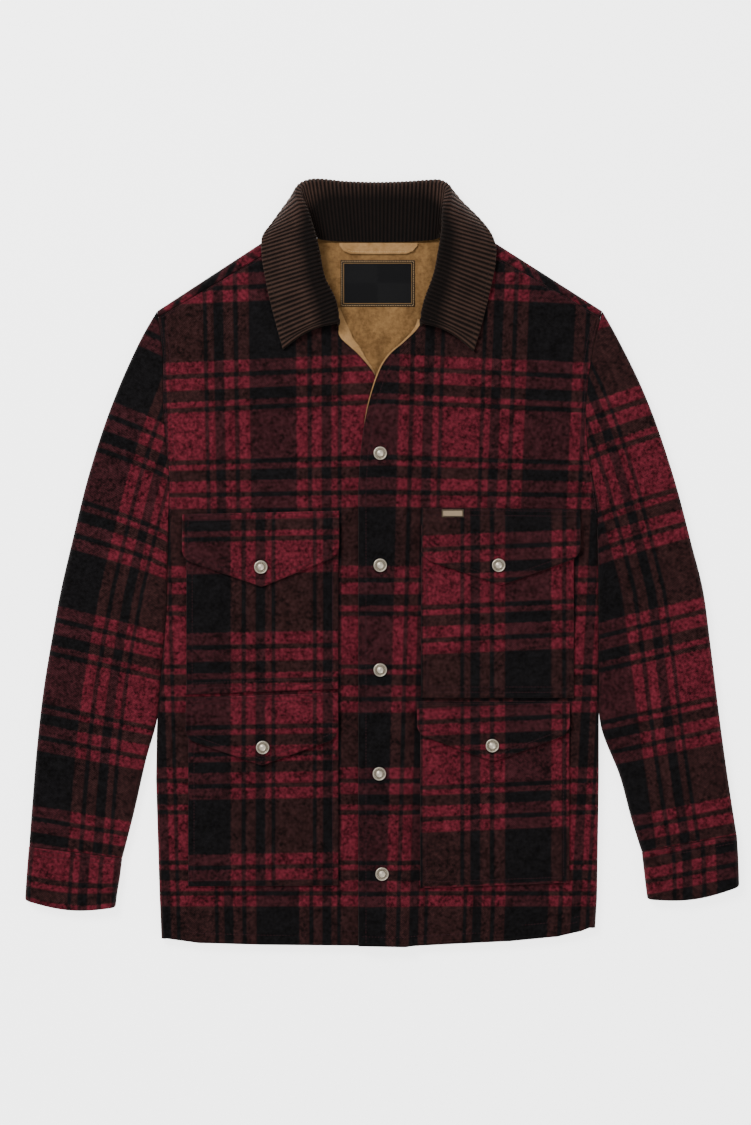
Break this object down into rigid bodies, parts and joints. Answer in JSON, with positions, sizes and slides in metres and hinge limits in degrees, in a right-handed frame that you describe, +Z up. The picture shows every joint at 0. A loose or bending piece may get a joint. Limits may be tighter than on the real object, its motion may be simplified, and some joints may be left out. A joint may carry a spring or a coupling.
{
  "type": "insulated jacket laid flat",
  "caption": "Insulated wool work jacket in crimson and black plaid with a brown corduroy collar, laid flat on its back.",
  "frame": {"origin": "centre of the bounding box's bottom, on the surface that the jacket lies on", "axes": "+Z up from that surface, +Y towards the collar, +X towards the wearer's left sleeve"},
  "size_m": [0.7872, 0.8457, 0.0328],
  "materials": {
    "wool": "matt",
    "corduroy": "matt",
    "lining": "matt",
    "label": "satin",
    "snap": "satin"
  },
  "bodies": {
    "root": {"back": "wool", "front_right": "wool", "front_left": "wool", "sleeve_right": "wool", "sleeve_left": "wool", "cuff_right": "wool", "cuff_left": "wool", "pocket_upper_right": "wool", "pocket_lower_right": "wool", "pocket_upper_left": "wool", "pocket_lower_left": "wool", "flap_upper_right": "wool", "flap_lower_right": "wool", "flap_upper_left": "wool", "flap_lower_left": "wool", "collar": "corduroy", "lining_back": "lining", "facing_right": "lining", "facing_left": "lining", "hanger_loop": "lining", "neck_label": "label", "pocket_label": "label", "snap_front_1": "snap", "snap_front_2": "snap", "snap_front_3": "snap", "snap_front_4": "snap", "snap_front_5": "snap", "snap_flap_upper_right": "snap", "snap_flap_lower_right": "snap", "snap_flap_upper_left": "snap", "snap_flap_lower_left": "snap"}
  },
  "joints": []
}
